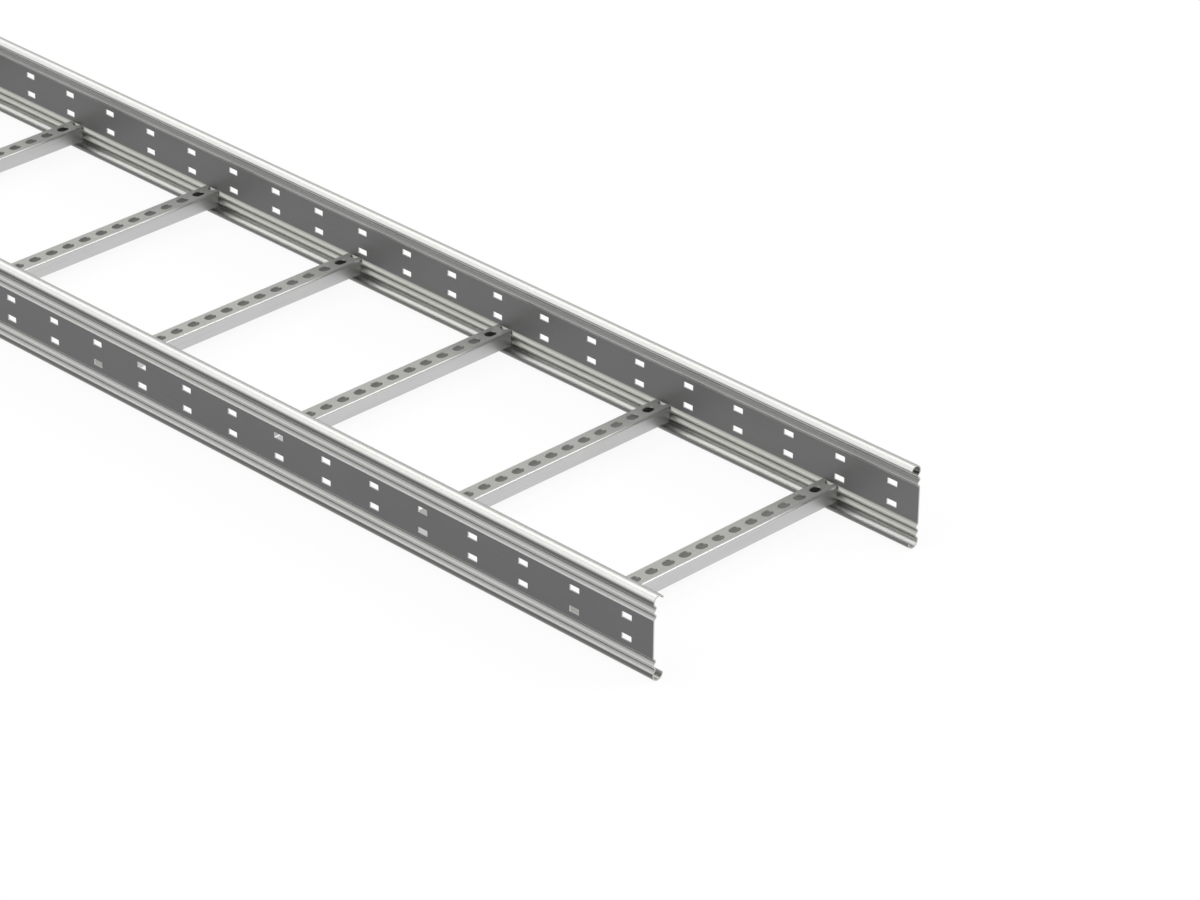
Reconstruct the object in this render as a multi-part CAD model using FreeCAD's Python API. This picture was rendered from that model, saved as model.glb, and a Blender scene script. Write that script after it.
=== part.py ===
import FreeCAD, Part

import math
import os

# Cable ladder section: two roll-formed side rails joined by perforated channel rungs.
# X runs along the ladder, Y across it, Z up. The origin is on the ground, in the middle
# of the ladder's length and width. All sizes are in millimetres.

# Ladder
ladder_length = 3000.0
ladder_width = 400.0          # over the outer faces of the two webs
rung_pitch = 250.0
end_to_first_rung = 125.0

# Side rail, roll-formed from one strip
rail_height = 100.0
rail_sheet = 1.5
curl_radius = 7.5             # outside radius of the rolled edges
lower_curl_turn = 180.0       # degrees that the lower edge is rolled round
upper_curl_turn = 160.0
bead_depth = 3.0
bead_width = 9.6
bead_bend = 2.0               # bend radius at the middle of the sheet
edge_to_outer_bead = 14.0     # from the rail's edge to the middle of the bead

# Splice slots in the webs, in two rows
slot_length = 14.0
slot_height = 7.0
slot_pitch = 75.0
slot_row_spacing = 25.0
end_to_first_slot = 37.5

# Rung, an upside-down channel
rung_width = 25.0
rung_height = 18.0
rung_sheet = 1.2
rung_bend = 1.4               # bend radius at the middle of the sheet
rung_hole_length = 15.0       # along the rung
rung_hole_width = 11.0
rung_hole_end_sides = 3       # flats in each round end, few because there are so many holes
rung_hole_pitch = 25.0
rung_above_curl = 2.5         # from the middle of the lower curls to the rung's lower edges
weld_gap = 0.2                # between a rung's cut ends and the rail

cut_margin = 1.0              # how far a cutting shape stands out of the sheet

ALONG = FreeCAD.Vector(1, 0, 0)
ACROSS = FreeCAD.Vector(0, 1, 0)
UP = FreeCAD.Vector(0, 0, 1)


def turned(vector, angle):
    """The vector turned about the X axis, from Y towards Z."""
    return FreeCAD.Rotation(ALONG, math.degrees(angle)).multVec(vector)


def bent_strip(start, heading, steps, sheet):
    """Section of a bent sheet in the YZ plane, walked along the middle of the sheet.

    A step is a flat, (length,), or a bend, (angle, radius). A positive angle turns
    from Y towards Z.
    """
    one_side = []
    other_side = []
    place = start
    for step in steps:
        left = turned(heading, math.pi / 2)
        half = left * (sheet / 2)
        if len(step) == 1:
            end = place + heading * step[0]
            one_side.append(Part.LineSegment(place + half, end + half).toShape())
            other_side.append(Part.LineSegment(place - half, end - half).toShape())
            place = end
            continue
        angle, radius = step
        side = math.copysign(1, angle)
        centre = place + left * (side * radius)
        spoke = left * -side
        for edges, reach in ((one_side, radius - side * sheet / 2), (other_side, radius + side * sheet / 2)):
            points = [centre + turned(spoke * reach, angle * share) for share in (0, 0.5, 1)]
            edges.append(Part.Arc(*points).toShape())
        place = centre + turned(spoke * radius, angle)
        heading = turned(heading, angle)
    left = turned(heading, math.pi / 2)
    half = left * (sheet / 2)
    start_cap = Part.LineSegment(one_side[0].firstVertex().Point, other_side[0].firstVertex().Point)
    end_cap = Part.LineSegment(place + half, place - half)
    outline = one_side + other_side + [start_cap.toShape(), end_cap.toShape()]
    return Part.Face(Part.Wire(Part.sortEdges(outline)[0]))


def bead_steps():
    """A bead pushed inwards out of the web: a bend, a side, the crest, a side, a bend."""
    rise = bead_depth - 2 * bead_bend
    run = bead_width / 2
    reach = math.hypot(rise, run)
    angle = math.atan2(rise, run) + math.asin(2 * bead_bend / reach)
    side = math.sqrt(reach ** 2 - 4 * bead_bend ** 2)
    return [(angle, bead_bend), (side,), (-2 * angle, bead_bend), (side,), (angle, bead_bend)]


def rail_section():
    """Section of the rail with its web on Y = 0 and its curls towards +Y."""
    curl_middle = curl_radius - rail_sheet / 2
    lower_curl = (math.radians(lower_curl_turn), curl_middle)
    upper_curl = (math.radians(upper_curl_turn), curl_middle)
    curl_to_bead = edge_to_outer_bead - bead_width / 2 - curl_radius
    web = rail_height - 2 * edge_to_outer_bead - 3 * bead_width
    edge = [(curl_to_bead,)] + bead_steps() + bead_steps()
    steps = [upper_curl] + edge + [(web,)] + edge[::-1] + [lower_curl]
    open_part = math.pi - upper_curl[0]
    curl_centre = FreeCAD.Vector(0, curl_radius, rail_height - curl_radius)
    start = curl_centre + turned(ACROSS * curl_middle, open_part)
    return bent_strip(start, turned(UP, open_part), steps, rail_sheet)


def places(first_from_end, pitch):
    """X of every copy of a pattern that starts at the same distance from both ends."""
    spaces = int((ladder_length - 2 * first_from_end) / pitch + 0.001)
    return [first_from_end + pitch * copy - ladder_length / 2 for copy in range(spaces + 1)]


def splice_slots():
    """Cutting shapes of the two rows of slots."""
    depth = rail_sheet + 2 * cut_margin
    slots = []
    for x in places(end_to_first_slot, slot_pitch):
        for row in (-0.5, 0.5):
            z = rail_height / 2 + row * slot_row_spacing
            corner = FreeCAD.Vector(x - slot_length / 2, -cut_margin, z - slot_height / 2)
            slots.append(Part.makeBox(slot_length, depth, slot_height, corner))
    return Part.makeCompound(slots)


def side_rail():
    """The rail on the -Y side."""
    rail = rail_section().extrude(ALONG * ladder_length)
    rail.translate(ALONG * (-ladder_length / 2))
    rail = rail.cut(splice_slots())
    rail.translate(ACROSS * (-ladder_width / 2))
    return rail


def rung_hole(y):
    """Cutting shape of one hole in the rung's top, its ends made of flats that touch a round."""
    radius = rung_hole_width / 2
    straight = rung_hole_length / 2 - radius
    corner_turn = math.pi / (rung_hole_end_sides + 1)
    corner_radius = radius / math.cos(corner_turn / 2)
    corners = []
    for end in (1, -1):
        for corner in range(rung_hole_end_sides + 1):
            turn = corner_turn * (corner + 0.5)
            spoke = FreeCAD.Vector(math.cos(turn), math.sin(turn), 0) * (end * corner_radius)
            corners.append(ACROSS * (y + end * straight) + spoke)
    outline = Part.makePolygon(corners + corners[:1])
    hole = Part.Face(outline).extrude(UP * (rung_sheet + 2 * cut_margin))
    hole.translate(UP * (rung_height - rung_sheet - cut_margin))
    return hole


def rung_channel():
    """The rung's bent channel, as long as the webs leave room for, standing on Z = 0."""
    flange = rung_height - rung_sheet / 2 - rung_bend
    top = rung_width - rung_sheet - 2 * rung_bend
    corner = (-math.pi / 2, rung_bend)
    steps = [(flange,), corner, (top,), corner, (flange,)]
    start = FreeCAD.Vector(0, -(rung_width - rung_sheet) / 2, 0)
    length = ladder_width - 2 * (rail_sheet + weld_gap)
    channel = bent_strip(start, UP, steps, rung_sheet).extrude(ALONG * length)
    channel.translate(ALONG * (-length / 2))
    channel.rotate(FreeCAD.Vector(0, 0, 0), UP, 90)
    return channel


def bead_notches():
    """Cutting shapes that take the rung's sides back from the rails' beads, under its top."""
    depth = rail_sheet + bead_depth + weld_gap
    width = rung_width + 2 * cut_margin
    height = rung_height - rung_sheet + cut_margin
    near = Part.makeBox(width, depth, height, FreeCAD.Vector(-width / 2, -ladder_width / 2, -cut_margin))
    far = near.copy()
    far.translate(ACROSS * (ladder_width - depth))
    return [near, far]


def rung(x):
    """One rung, its top welded to the webs and its sides to the lower beads."""
    reach = int(ladder_width / 2 / rung_hole_pitch + 0.001)
    holes = [rung_hole(rung_hole_pitch * step) for step in range(-reach, reach + 1)]
    shape = rung_channel().cut(Part.makeCompound(holes + bead_notches()))
    shape.translate(ALONG * x + UP * (curl_radius + rung_above_curl))
    return shape


def save(shape, node):
    if shape.ShapeType == "Compound" and len(shape.Solids) == 1:
        shape = shape.Solids[0]
    shape.exportStep("parts/" + node + ".step")
    print(node, shape.ShapeType, len(shape.Solids), shape.isValid(), round(shape.Volume))


os.makedirs("parts", exist_ok=True)
left_rail = side_rail()
save(left_rail, "side_rail_left")
save(left_rail.mirror(FreeCAD.Vector(0, 0, 0), ACROSS), "side_rail_right")
for number, x in enumerate(places(end_to_first_rung, rung_pitch), start=1):
    save(rung(x), "rung_%02d" % number)
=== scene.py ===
import math

import bmesh
import bpy
from mathutils import Matrix, Vector


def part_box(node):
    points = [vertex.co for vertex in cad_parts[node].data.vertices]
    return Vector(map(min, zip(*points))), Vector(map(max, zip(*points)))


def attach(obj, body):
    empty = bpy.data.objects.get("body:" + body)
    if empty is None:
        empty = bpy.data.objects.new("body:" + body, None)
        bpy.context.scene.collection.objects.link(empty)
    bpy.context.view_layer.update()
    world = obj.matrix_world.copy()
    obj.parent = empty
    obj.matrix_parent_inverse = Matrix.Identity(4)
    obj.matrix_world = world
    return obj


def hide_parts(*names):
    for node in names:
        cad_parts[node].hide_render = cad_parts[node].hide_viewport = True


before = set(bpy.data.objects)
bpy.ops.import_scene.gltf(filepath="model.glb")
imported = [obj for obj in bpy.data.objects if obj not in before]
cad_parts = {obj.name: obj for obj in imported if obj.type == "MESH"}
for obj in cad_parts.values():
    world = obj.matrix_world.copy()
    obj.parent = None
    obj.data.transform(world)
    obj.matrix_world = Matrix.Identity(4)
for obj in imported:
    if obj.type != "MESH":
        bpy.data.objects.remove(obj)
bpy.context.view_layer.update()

# The looks of a cable ladder section: two roll-formed side rails and the perforated
# rungs between them, with finer meshes than the construction model and satin metal.
# Metres, with X along the ladder, Y across it and Z up.

MM = 0.001

# Side rail, as in the construction model
RAIL_HEIGHT = 100 * MM
RAIL_SHEET = 1.5 * MM
CURL_RADIUS = 7.5 * MM
LOWER_CURL_TURN = math.radians(180)
UPPER_CURL_TURN = math.radians(160)
BEAD_DEPTH = 3.0 * MM
BEAD_WIDTH = 9.6 * MM
BEAD_BEND = 2.0 * MM
EDGE_TO_OUTER_BEAD = 14.0 * MM
# The finish beside a pair of beads is painted light and shade, the web's and the curl's greys
BEAD_FOOT = 0.9 * MM          # how far the finish beside a pair of beads reaches into it

# Splice slots
SLOT_LENGTH = 14 * MM
SLOT_HEIGHT = 7 * MM
SLOT_CORNER = 0.8 * MM
SLOT_PITCH = 75 * MM
SLOT_ROW_SPACING = 25 * MM

# Rung
RUNG_WIDTH = 25 * MM
RUNG_SHEET = 1.2 * MM
RUNG_BEND = 1.4 * MM
RUNG_HOLE_LENGTH = 15 * MM
RUNG_HOLE_WIDTH = 11 * MM
RUNG_HOLE_PITCH = 25 * MM
WELD_GAP = 0.2 * MM

# How finely bends and round ends are divided
CURL_STEPS = 28
BEAD_STEPS = 8
RUNG_BEND_STEPS = 6
CORNER_STEPS = 5
HOLE_STEPS = 14

CORNER_GRID = 1e7             # steps to the metre of the grid on which shared corners are found
ROUNDING = 0.001              # lets a count that falls a hair short of a whole number reach it
SHARP_ANGLE = math.radians(30)

RAIL_LOW, RAIL_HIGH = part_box("side_rail_left")
LADDER_LENGTH = RAIL_HIGH[0] - RAIL_LOW[0]
HALF_WIDTH = -RAIL_LOW[1]
EDGE_TO_WEB = EDGE_TO_OUTER_BEAD + 1.5 * BEAD_WIDTH
RUNGS = sorted(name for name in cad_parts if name.startswith("rung_"))


def point_on(centre, radius, angle):
    """The point that far from the centre, in the direction of the angle."""
    return (centre[0] + radius * math.cos(angle), centre[1] + radius * math.sin(angle))


def bent_strip(start, heading, steps, sheet):
    """Both edges of a bent sheet's section, walked along its middle in a plane.

    A flat is (length,) or (length, shares), with extra points at the given shares of
    its length. A bend is (angle, radius, divisions), positive to the left.
    """
    left_edge = []
    right_edge = []
    place = start

    def add(middle, direction):
        side = (-math.sin(direction) * sheet / 2, math.cos(direction) * sheet / 2)
        left_edge.append((middle[0] + side[0], middle[1] + side[1]))
        right_edge.append((middle[0] - side[0], middle[1] - side[1]))

    add(place, heading)
    for step in steps:
        if len(step) < 3:
            shares = step[1] if len(step) == 2 else ()
            for share in (*shares, 1):
                add(point_on(place, step[0] * share, heading), heading)
            place = point_on(place, step[0], heading)
            continue
        angle, radius, divisions = step
        side = math.copysign(1, angle)
        centre = point_on(place, radius, heading + side * math.pi / 2)
        spoke = heading - side * math.pi / 2
        for division in range(1, divisions + 1):
            turn = angle * division / divisions
            add(point_on(centre, radius, spoke + turn), heading + turn)
        place = point_on(centre, radius, spoke + angle)
        heading += angle
    return left_edge, right_edge


def bead_steps():
    """Bends and flats of one V bead, from its foot over its crest to its other foot."""
    rise = BEAD_DEPTH - 2 * BEAD_BEND
    run = BEAD_WIDTH / 2
    reach = math.hypot(rise, run)
    angle = math.atan2(rise, run) + math.asin(2 * BEAD_BEND / reach)
    side = math.sqrt(reach ** 2 - 4 * BEAD_BEND ** 2)
    foot = (angle, BEAD_BEND, BEAD_STEPS)
    crest = (-2 * angle, BEAD_BEND, 2 * BEAD_STEPS)
    return [foot, (side,), crest, (side,), foot]


def rail_outline():
    """Inner and outer edge of the rail's section.

    Their points are (depth in from the web's outer face, height).
    """
    curl_middle = CURL_RADIUS - RAIL_SHEET / 2
    curl_to_bead = EDGE_TO_OUTER_BEAD - BEAD_WIDTH / 2 - CURL_RADIUS
    web = RAIL_HEIGHT - 2 * EDGE_TO_WEB
    rows = SLOT_ROW_SPACING / web / 2
    edge = [(curl_to_bead,)] + bead_steps() + bead_steps()
    web_flat = (web, (0.5 - rows, 0.5, 0.5 + rows))
    upper_curl = (UPPER_CURL_TURN, curl_middle, CURL_STEPS)
    lower_curl = (LOWER_CURL_TURN, curl_middle, CURL_STEPS)
    steps = [upper_curl] + edge + [web_flat] + edge[::-1] + [lower_curl]
    open_part = math.pi - UPPER_CURL_TURN
    start = point_on((CURL_RADIUS, RAIL_HEIGHT - CURL_RADIUS), curl_middle, open_part)
    return bent_strip(start, math.pi / 2 + open_part, steps, RAIL_SHEET)


def hole_half(length, width, corner, steps):
    """Upper half of a slot's outline about its middle, from its +u tip to its -u tip."""
    reach = length / 2 - corner
    rise = width / 2 - corner
    quarter = [math.pi / 2 * step / steps for step in range(steps + 1)]
    right = [point_on((reach, rise), corner, angle) for angle in quarter]
    left = [(-u, v) for u, v in reversed(right)]
    points = [(length / 2, 0)] + right + left + [(-length / 2, 0)]
    apart = 1 / CORNER_GRID
    return [p for i, p in enumerate(points) if i == 0 or math.dist(p, points[i - 1]) > apart]


def holed_cell(low, high, middle, half):
    """Two flat faces around a slot that fill the rectangle from low to high."""
    faces = []
    for sign, edge_v in ((1, high[1]), (-1, low[1])):
        rim = [(middle[0] + u, middle[1] + sign * v) for u, v in half]
        outside = [(low[0], middle[1]), (low[0], edge_v), (high[0], edge_v), (high[0], middle[1])]
        faces.append(outside + rim)
    return faces


def hole_walls(middle, half, place, depths):
    """Faces of the slot's wall between the two faces of the sheet."""
    near, far = depths
    faces = []
    for sign in (1, -1):
        rim = [(middle[0] + u, middle[1] + sign * v) for u, v in half]
        for a, b in zip(rim, rim[1:]):
            faces.append([place(*a, near), place(*b, near), place(*b, far), place(*a, far)])
    return faces


def rail_faces():
    """Faces of the rail on the -Y side, in seven groups.

    They are the plain faces, the web's outer and inner face, the beads' outer faces, the
    lower beads' inner faces, the upper beads' inner faces, which take a painted shadow of
    the upper curl, and the inside of the lower curl, which takes painted light.
    """
    inner_edge, outer_edge = rail_outline()
    count = round(LADDER_LENGTH / SLOT_PITCH)
    stations = [-LADDER_LENGTH / 2 + SLOT_PITCH * i for i in range(count + 1)]
    web_low = EDGE_TO_WEB
    web_high = RAIL_HEIGHT - EDGE_TO_WEB
    web_middle = RAIL_HEIGHT / 2
    half = hole_half(SLOT_LENGTH, SLOT_HEIGHT, SLOT_CORNER, CORNER_STEPS)

    def place(x, z, depth):
        return (x, depth - HALF_WIDTH, z)

    def add_band(group, start, end):
        """Faces along the whole rail between two points of its section."""
        (d0, z0), (d1, z1) = start, end
        for x0, x1 in zip(stations, stations[1:]):
            group.append([place(x0, z0, d0), place(x1, z0, d0), place(x1, z1, d1), place(x0, z1, d1)])

    first_bead = EDGE_TO_OUTER_BEAD - BEAD_WIDTH / 2
    faces = []
    web_outside = []
    web_inside = []
    beads_outside = []
    beads_inside = []
    beads_in_curl_shadow = []
    curl_inside = []
    # An edge, its bead foot, and the groups of its lower and of its upper beads and curl
    outside = (outer_edge, BEAD_FOOT, beads_outside, faces, beads_outside, faces)
    inside = (inner_edge, 0, beads_inside, curl_inside, beads_in_curl_shadow, faces)
    for edge, foot, low_beads, low_curl, high_beads, high_curl in (outside, inside):
        for start, end in zip(edge, edge[1:]):
            is_high = start[1] > web_middle
            beads, curl = (high_beads, high_curl) if is_high else (low_beads, low_curl)
            height = (start[1] + end[1]) / 2
            from_edge = min(height, RAIL_HEIGHT - height)
            if from_edge > EDGE_TO_WEB:
                continue
            group = beads if from_edge > first_bead + foot else curl
            if from_edge > EDGE_TO_WEB - foot:
                group = web_outside
            add_band(group, start, end)
    for x0, x1 in zip(stations, stations[1:]):
        for row, low, high in ((-0.5, web_low, web_middle), (0.5, web_middle, web_high)):
            middle = ((x0 + x1) / 2, web_middle + row * SLOT_ROW_SPACING)
            for group, depth in ((web_outside, 0), (web_inside, RAIL_SHEET)):
                for face in holed_cell((x0, low), (x1, high), middle, half):
                    group.append([place(*p, depth) for p in face])
            faces += hole_walls(middle, half, place, (0, RAIL_SHEET))
    section = list(zip(inner_edge, outer_edge))
    for (a0, b0), (a1, b1) in zip(section, section[1:]):
        for x in (stations[0], stations[-1]):
            faces.append([place(x, p[1], p[0]) for p in (a0, a1, b1, b0)])
    for inner, outer in (section[0], section[-1]):
        add_band(faces, inner, outer)
    return faces, web_outside, web_inside, beads_outside, beads_inside, beads_in_curl_shadow, curl_inside


def rung_faces(seat, top):
    """Outer, top and inner faces of a rung whose middle is at X 0. The inner faces take a painted
    shade.
    """
    outer_bend = RUNG_BEND + RUNG_SHEET / 2
    inner_bend = RUNG_BEND - RUNG_SHEET / 2
    flat = RUNG_WIDTH / 2 - outer_bend
    bend_z = top - outer_bend
    under = top - RUNG_SHEET
    tongue_end = HALF_WIDTH - RAIL_SHEET - WELD_GAP
    flange_end = HALF_WIDTH - RAIL_SHEET - BEAD_DEPTH - WELD_GAP
    holes_each_side = int(HALF_WIDTH / RUNG_HOLE_PITCH + ROUNDING)
    last_cell = (holes_each_side - 0.5) * RUNG_HOLE_PITCH
    cells = [RUNG_HOLE_PITCH * (i - 0.5) for i in range(1 - holes_each_side, holes_each_side + 1)]
    body = [-flange_end] + cells + [flange_end]
    half = hole_half(RUNG_HOLE_LENGTH, RUNG_HOLE_WIDTH, RUNG_HOLE_WIDTH / 2, HOLE_STEPS)

    # The outer bend is divided where the top's lower face would cut it, and the tongue
    # that reaches the web keeps only the part above
    cut_angle = math.asin((under - bend_z) / outer_bend)
    upper_turn = math.pi / 2 - cut_angle
    count_down = range(RUNG_BEND_STEPS, -1, -1)
    above = [cut_angle + upper_turn * i / RUNG_BEND_STEPS for i in count_down]
    below = [cut_angle * i / 2 for i in (1, 0)]
    tongue_bend = [point_on((flat, bend_z), outer_bend, angle) for angle in above]
    tongue_side = tongue_bend[-1][0]
    flange_bend = [tongue_bend[-1]] + [point_on((flat, bend_z), outer_bend, angle) for angle in below]
    inside_turns = [math.pi / 2 * i / RUNG_BEND_STEPS for i in count_down]
    inside = [point_on((flat, bend_z), inner_bend, angle) for angle in inside_turns]
    inside.append((RUNG_WIDTH / 2 - RUNG_SHEET, seat))
    outside = flange_bend + [(RUNG_WIDTH / 2, seat)]

    faces = []
    tops = []
    inner = []

    def sweep(group, path, stations):
        """Faces along the rung between the points of a path, on both of its sides."""
        for (x0, z0), (x1, z1) in zip(path, path[1:]):
            for y0, y1 in zip(stations, stations[1:]):
                for side in (1, -1):
                    a, b = side * x0, side * x1
                    group.append([(a, y0, z0), (b, y0, z1), (b, y1, z1), (a, y1, z0)])

    sweep(faces, tongue_bend, [-tongue_end] + body + [tongue_end])
    sweep(faces, outside, body)
    sweep(inner, inside, body)
    sweep(faces, [outside[-1], inside[-1]], body)

    def place(y, x, z):
        return (x, y, z)

    for y0, y1 in zip(cells, cells[1:]):
        middle = ((y0 + y1) / 2, 0)
        for group, z in ((tops, top), (inner, under)):
            for face in holed_cell((y0, -flat), (y1, flat), middle, half):
                group.append([place(*p, z) for p in face])
        faces.extend(hole_walls(middle, half, place, (top, under)))

    # Each end cuts through a hole, which leaves an open notch
    notch = [(x, y + HALF_WIDTH) for y, x in half if y < 0 and y + HALF_WIDTH < tongue_end]
    notch = [(notch[0][0], tongue_end)] + notch
    rim = notch + [(-x, y) for x, y in reversed(notch[:-1])]
    for end in (1, -1):
        for group, z in ((tops, top), (inner, under)):
            edge = [(-flat, tongue_end), (-flat, flange_end), (-flat, last_cell), (0, last_cell),
                    (flat, last_cell), (flat, flange_end), (flat, tongue_end)]
            group.append([(x, end * y, z) for x, y in rim + edge])
        for (x0, y0), (x1, y1) in zip(rim, rim[1:]):
            a, b = (x0, end * y0), (x1, end * y1)
            faces.append([(*a, top), (*b, top), (*b, under), (*a, under)])
        for side in (1, -1):
            tip = [(notch[0][0], top)] + tongue_bend + [(flat, under), (notch[0][0], under)]
            faces.append([(side * x, end * tongue_end, z) for x, z in tip])
            ledge = [(flat, flange_end), (tongue_side, flange_end)]
            ledge += [(tongue_side, tongue_end), (flat, tongue_end)]
            faces.append([(side * x, end * y, under) for x, y in ledge])
            faces.append([(side * x, end * flange_end, z) for x, z in outside + inside[::-1]])
    return faces, tops, inner


def mesh_from(name, *groups):
    """A closed mesh from faces given as lists of corners, with shared corners joined.

    Each group of faces takes its own material.
    """
    corners = {}
    build = bmesh.new()
    for number, group in enumerate(groups):
        for face in group:
            loop = []
            for corner in face:
                key = tuple(round(value * CORNER_GRID) for value in corner)
                if key not in corners:
                    corners[key] = build.verts.new(corner)
                if corners[key] not in loop:
                    loop.append(corners[key])
            if len(loop) > 2:
                build.faces.new(loop).material_index = number
    bmesh.ops.recalc_face_normals(build, faces=build.faces)
    mesh = bpy.data.meshes.new(name)
    build.to_mesh(mesh)
    build.free()
    mesh.polygons.foreach_set("use_smooth", [True] * len(mesh.polygons))
    mesh.set_sharp_from_angle(angle=SHARP_ANGLE)
    return mesh


def add_piece(name, mesh, node, slot, *materials):
    """A piece of the ladder with its finishes, in place of the construction model's node."""
    piece = bpy.data.objects.new(name, mesh)
    bpy.context.scene.collection.objects.link(piece)
    for material in materials:
        mesh.materials.append(material)
    normals = piece.modifiers.new("flat_faces_stay_flat", "WEIGHTED_NORMAL")
    normals.keep_sharp = True
    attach(piece, "root")
    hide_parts(node)


# Materials


def grey(value, blue=0.97):
    """A grey that is slightly warm unless its blue share says otherwise."""
    return (value, value, value * blue, 1)


# Painted light and shade: greys for where a piece faces down, out to its side, up at a lean and
# straight up, lighter or darker by how light falls on each facing
# Painted highlight on the rail where it turns up, painted shade where it faces out to its side
RAIL_GREYS = (grey(0.2), grey(0.135, 1.0), grey(0.52), grey(0.55))
# Painted shade on the webs, darker than the rest of the same zinc, and painted light on the inner
# web, a little lighter than the outer
WEB_GREYS = (grey(0.115, 1.03),) * 4
WEB_INSIDE_GREYS = (grey(0.149, 1.0),) * 4
BEAD_GREYS = (grey(0.42), grey(0.29), grey(0.3), grey(0.3))
BEAD_INSIDE_GREYS = (grey(0.47, 0.92), grey(0.38, 0.92), grey(0.32, 0.93), grey(0.32, 0.93))
# Painted shadow of the upper curl on the upper beads' inner faces
CURL_SHADOW_GREYS = (grey(0.38), grey(0.56), grey(0.21), grey(0.21))
# Painted light inside the lower curl, lighter than the rest of the rail's zinc
CURL_INSIDE_LIGHT_GREYS = (grey(0.7), grey(0.7), grey(0.5), grey(0.5))
# Painted highlight on the rung's bends, which face up at a lean, and its sides painted lighter than
# its holed top
RUNG_GREYS = (grey(0.46, 0.95), grey(0.6, 1.0), grey(0.62, 0.97), grey(0.62, 0.97))
RUNG_TOP_GREYS = (grey(0.46, 0.94),) * 4
# Painted shade on the rung's inner faces, under its top and inside its flanges
RUNG_INSIDE_SHADE_GREYS = (grey(0.22, 0.95),) * 4

# Where those greys begin and end, from -1 for facing down to 1 for facing up
GREY_LEANS = (-0.4, -0.08, 0.06, 0.37, 0.85, 0.99)

WEB_METAL = 0.4               # the rest of these surfaces is matt
RUNG_TOP_METAL = 0.55
# Painted shade in a bead's hollow and painted light on its raised side
HOLLOW_SHARE = 0.7            # how bright a bead's hollow side and its raised side are
RAISED_SHARE = 1.4

# About how many rolling marks come to the metre along X, Y and Z, for pieces along X and
# along Y, and about how many soft clouds
GRAIN_SCALE = {"X": (6, 700, 700), "Y": (700, 6, 700)}
CLOUD_SCALE = 14.0
GRAIN_DETAIL = 4.0
CLOUD_DETAIL = 3.0
CLOUD_SHARE = 0.45            # the rest of the mix is rolling marks

# What the marks and clouds do to the brightness and the roughness, and the marks' relief
MARKS_RANGE = (0.3, 0.7)      # the part of the mix that the brightness follows
MARKS_BRIGHTNESS = (0.93, 1.07)
MARKS_ROUGHNESS = (0.34, 0.46)
RELIEF_STRENGTH = 0.03
RELIEF_HEIGHT = 0.05 * MM

FLOOR_WHITE = 0.93
SHADOW_FREE_SHARE = 0.92      # part of the floor's white that no shadow takes away


def link(tree, source, output, target, socket):
    tree.links.new(source.outputs[output], target.inputs[socket])


def painted_hollow_shade(tree, place, hollow_y, raised_y):
    """Painted shade in a rail's hollows and painted light on its raised side, by the distance from
    the ladder's middle plane.
    """
    parts = tree.nodes.new("ShaderNodeSeparateXYZ")
    link(tree, place, "Object", parts, "Vector")
    distance = tree.nodes.new("ShaderNodeMath")
    distance.operation = "ABSOLUTE"
    link(tree, parts, "Y", distance, 0)
    tint = tree.nodes.new("ShaderNodeMapRange")
    tint.inputs["From Min"].default_value = hollow_y
    tint.inputs["From Max"].default_value = raised_y
    tint.inputs["To Min"].default_value = HOLLOW_SHARE
    tint.inputs["To Max"].default_value = RAISED_SHARE
    link(tree, distance, "Value", tint, "Value")
    return tint


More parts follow.
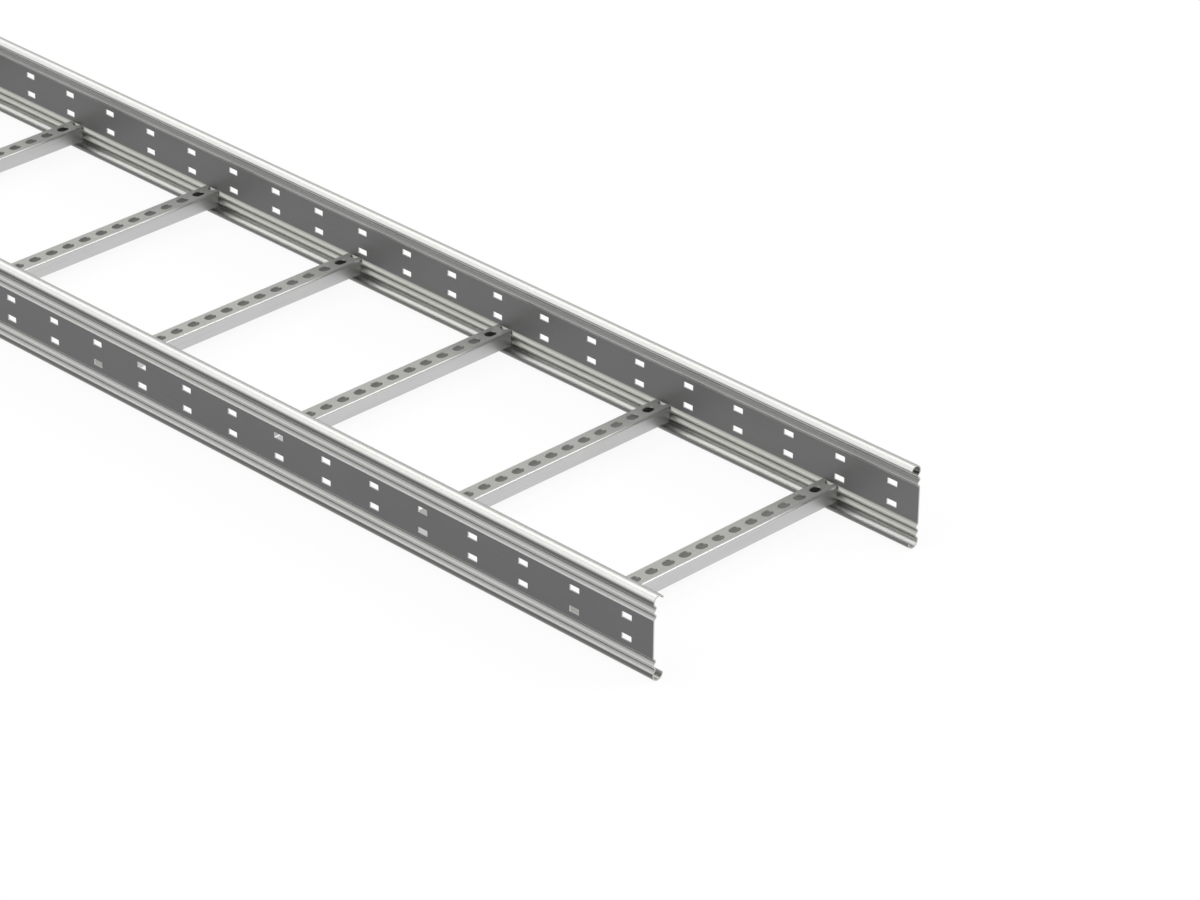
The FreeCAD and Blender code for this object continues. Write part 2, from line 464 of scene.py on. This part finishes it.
def painted_light_satin_steel(name, greys, along, hollow=None, metal=1.0):
    """Satin zinc on steel sheet: faint streaks along the rolling direction, soft cloudy patches.

    The piece runs along the X or Y axis. Its greys are painted light and shade for where
    it faces down, out to its side, up at a lean and straight up, and its ends are painted
    as bright as where it faces straight up.
    """
    material = bpy.data.materials.new(name)
    material.use_nodes = True
    tree = material.node_tree
    shader = tree.nodes["Principled BSDF"]
    shader.inputs["Metallic"].default_value = metal

    place = tree.nodes.new("ShaderNodeTexCoord")
    stretch = tree.nodes.new("ShaderNodeMapping")
    stretch.inputs["Scale"].default_value = GRAIN_SCALE[along]
    grain = tree.nodes.new("ShaderNodeTexNoise")
    grain.inputs["Scale"].default_value = 1.0
    grain.inputs["Detail"].default_value = GRAIN_DETAIL
    clouds = tree.nodes.new("ShaderNodeTexNoise")
    clouds.inputs["Scale"].default_value = CLOUD_SCALE
    clouds.inputs["Detail"].default_value = CLOUD_DETAIL
    link(tree, place, "Object", stretch, "Vector")
    link(tree, stretch, "Vector", grain, "Vector")
    link(tree, place, "Object", clouds, "Vector")

    both = tree.nodes.new("ShaderNodeMix")
    both.inputs["Factor"].default_value = CLOUD_SHARE
    link(tree, grain, "Fac", both, "A")
    link(tree, clouds, "Fac", both, "B")

    # Painted light and shade: the base grey follows which way the face turns
    facing = tree.nodes.new("ShaderNodeNewGeometry")
    parts = tree.nodes.new("ShaderNodeSeparateXYZ")
    link(tree, facing, "Normal", parts, "Vector")
    endways = tree.nodes.new("ShaderNodeMath")
    endways.operation = "ABSOLUTE"
    link(tree, parts, along, endways, 0)
    turned = tree.nodes.new("ShaderNodeMath")
    turned.operation = "ADD"
    link(tree, endways, "Value", turned, 0)
    link(tree, parts, "Z", turned, 1)
    share = tree.nodes.new("ShaderNodeMapRange")
    share.inputs["From Min"].default_value = -1.0
    link(tree, turned, "Value", share, "Value")
    painted_facing_light = tree.nodes.new("ShaderNodeValToRGB")
    painted_facing_light.color_ramp.interpolation = "EASE"
    down, side, leaning, up = greys
    shades = (down, side, side, leaning, leaning, up)
    for number, (lean, shade) in enumerate(zip(GREY_LEANS, shades)):
        if number > 1:
            painted_facing_light.color_ramp.elements.new(1)
        painted_facing_light.color_ramp.elements[number].position = (lean + 1) / 2
        painted_facing_light.color_ramp.elements[number].color = shade
    link(tree, share, "Result", painted_facing_light, "Fac")

    tint = tree.nodes.new("ShaderNodeMapRange")
    tint.inputs["From Min"].default_value = MARKS_RANGE[0]
    tint.inputs["From Max"].default_value = MARKS_RANGE[1]
    tint.inputs["To Min"].default_value = MARKS_BRIGHTNESS[0]
    tint.inputs["To Max"].default_value = MARKS_BRIGHTNESS[1]
    link(tree, both, "Result", tint, "Value")
    scaled = tree.nodes.new("ShaderNodeVectorMath")
    scaled.operation = "SCALE"
    link(tree, painted_facing_light, "Color", scaled, "Vector")
    link(tree, tint, "Result", scaled, "Scale")
    # Painted shade in the hollows, painted light on the raised side
    if hollow:
        dulled = tree.nodes.new("ShaderNodeVectorMath")
        dulled.operation = "SCALE"
        link(tree, scaled, "Vector", dulled, "Vector")
        link(tree, painted_hollow_shade(tree, place, *hollow), "Result", dulled, "Scale")
        scaled = dulled
    link(tree, scaled, "Vector", shader, "Base Color")

    rough = tree.nodes.new("ShaderNodeMapRange")
    rough.inputs["To Min"].default_value = MARKS_ROUGHNESS[0]
    rough.inputs["To Max"].default_value = MARKS_ROUGHNESS[1]
    link(tree, both, "Result", rough, "Value")
    link(tree, rough, "Result", shader, "Roughness")

    bump = tree.nodes.new("ShaderNodeBump")
    bump.inputs["Strength"].default_value = RELIEF_STRENGTH
    bump.inputs["Distance"].default_value = RELIEF_HEIGHT
    link(tree, grain, "Fac", bump, "Height")
    link(tree, bump, "Normal", shader, "Normal")
    return material


def floor_material():
    """Pale floor that shows plain white to the camera where nothing shades it."""
    material = bpy.data.materials.new("pale_floor")
    material.use_nodes = True
    tree = material.node_tree
    tree.nodes.remove(tree.nodes["Principled BSDF"])
    matt = tree.nodes.new("ShaderNodeBsdfDiffuse")
    matt.inputs["Color"].default_value = (FLOOR_WHITE, FLOOR_WHITE, FLOOR_WHITE, 1)
    white = tree.nodes.new("ShaderNodeEmission")
    path = tree.nodes.new("ShaderNodeLightPath")
    seen = tree.nodes.new("ShaderNodeMath")
    seen.operation = "MAXIMUM"
    link(tree, path, "Is Camera Ray", seen, 0)
    link(tree, path, "Is Glossy Ray", seen, 1)
    seen_through = tree.nodes.new("ShaderNodeMath")
    seen_through.operation = "MAXIMUM"
    link(tree, seen, 0, seen_through, 0)
    link(tree, path, "Is Transmission Ray", seen_through, 1)
    share = tree.nodes.new("ShaderNodeMath")
    share.operation = "MULTIPLY"
    share.inputs[1].default_value = SHADOW_FREE_SHARE
    link(tree, seen_through, 0, share, 0)
    blend = tree.nodes.new("ShaderNodeMixShader")
    link(tree, share, 0, blend, 0)
    link(tree, matt, 0, blend, 1)
    link(tree, white, 0, blend, 2)
    link(tree, blend, 0, tree.nodes["Material Output"], "Surface")
    return material


# Depths at which a bead's painted hollow shade turns into painted light on its raised side
outside_depths = (HALF_WIDTH - BEAD_DEPTH, HALF_WIDTH)
inside_depths = (HALF_WIDTH - RAIL_SHEET, HALF_WIDTH - RAIL_SHEET - BEAD_DEPTH)
# Lit and shaded copies of one zinc, one for each group of faces, each with its own painted greys
rail_metals = (
    painted_light_satin_steel("rail_satin", RAIL_GREYS, "X"),
    painted_light_satin_steel("web_satin", WEB_GREYS, "X", metal=WEB_METAL),
    painted_light_satin_steel("web_inside_satin", WEB_INSIDE_GREYS, "X", metal=WEB_METAL),
    painted_light_satin_steel("bead_satin", BEAD_GREYS, "X", outside_depths),
    painted_light_satin_steel("bead_inside_satin", BEAD_INSIDE_GREYS, "X", inside_depths),
    painted_light_satin_steel("bead_painted_curl_shadow_satin", CURL_SHADOW_GREYS, "X"),
    painted_light_satin_steel("curl_inside_painted_light_satin", CURL_INSIDE_LIGHT_GREYS, "X"),
)
rung_metals = (
    painted_light_satin_steel("rung_satin", RUNG_GREYS, "Y"),
    painted_light_satin_steel("rung_top_satin", RUNG_TOP_GREYS, "Y", metal=RUNG_TOP_METAL),
    painted_light_satin_steel("rung_inside_painted_shade_satin", RUNG_INSIDE_SHADE_GREYS, "Y"),
)

# Pieces

left_mesh = mesh_from("side_rail", *rail_faces())
right_mesh = left_mesh.copy()
right_mesh.transform(Matrix.Diagonal((1, -1, 1, 1)))
right_mesh.flip_normals()
add_piece("rail_left_skin", left_mesh, "side_rail_left", "rail_steel", *rail_metals)
add_piece("rail_right_skin", right_mesh, "side_rail_right", "rail_steel", *rail_metals)

for rung in RUNGS:
    low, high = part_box(rung)
    mesh = mesh_from(rung + "_skin", *rung_faces(low[2], high[2]))
    mesh.transform(Matrix.Translation(((low[0] + high[0]) / 2, 0, 0)))
    add_piece(rung + "_skin", mesh, rung, "rung_steel", *rung_metals)


# Floor, light and camera

FLOOR_REACH = 40
LAMP_DISTANCE = 5
WORLD_STRENGTH = 0.78

floor_mesh = bpy.data.meshes.new("floor")
floor_signs = ((-1, -1), (1, -1), (1, 1), (-1, 1))
floor_corners = [(FLOOR_REACH * x, FLOOR_REACH * y, 0) for x, y in floor_signs]
floor_mesh.from_pydata(floor_corners, [], [(0, 1, 2, 3)])
floor = bpy.data.objects.new("floor", floor_mesh)
floor_mesh.materials.append(floor_material())
bpy.context.scene.collection.objects.link(floor)


def far_lamp(name, direction, spread, strength):
    """Light from far off in that direction, softened as by a round panel that many degrees wide."""
    lamp = bpy.data.lights.new(name, "SUN")
    lamp.energy = strength
    lamp.angle = math.radians(spread)
    lamp_object = bpy.data.objects.new(name, lamp)
    lamp_object.location = Vector(direction) * LAMP_DISTANCE
    lamp_object.rotation_euler = Vector(direction).to_track_quat("Z", "Y").to_euler()
    bpy.context.scene.collection.objects.link(lamp_object)


far_lamp("low_key", (-0.617, -0.665, 0.421), spread=40, strength=0.5)
far_lamp("high_key", (-0.617, -0.02, 0.78), spread=40, strength=0.65)
far_lamp("back_fill", (0.48, 0.62, 0.62), spread=30, strength=0.7)

world = bpy.data.worlds.new("studio")
bpy.context.scene.world = world
world.use_nodes = True
world.node_tree.nodes["Background"].inputs["Color"].default_value = (1, 1, 1, 1)
world.node_tree.nodes["Background"].inputs["Strength"].default_value = WORLD_STRENGTH

# The photograph's view, found from the rows of slots
CAMERA_PLACE = Vector((4.5788, -3.3889, 2.7006))
CAMERA_AHEAD = Vector((-0.61671, 0.62300, -0.48118))
CAMERA_RIGHT = Vector((0.70708, 0.70707, 0.00922))
LENS_MM = 154.12
SENSOR_MM = 36
FURTHEST_SEEN = 200
camera = bpy.data.cameras.new("camera")
camera.lens = LENS_MM
camera.sensor_width = SENSOR_MM
camera.clip_end = FURTHEST_SEEN
camera_object = bpy.data.objects.new("camera", camera)
camera_up = CAMERA_RIGHT.cross(CAMERA_AHEAD)
turn = Matrix((CAMERA_RIGHT, camera_up, -CAMERA_AHEAD)).transposed()
camera_object.matrix_world = Matrix.Translation(CAMERA_PLACE) @ turn.to_4x4()
bpy.context.scene.collection.objects.link(camera_object)
bpy.context.scene.camera = camera_object

bpy.context.scene.view_settings.view_transform = "Standard"
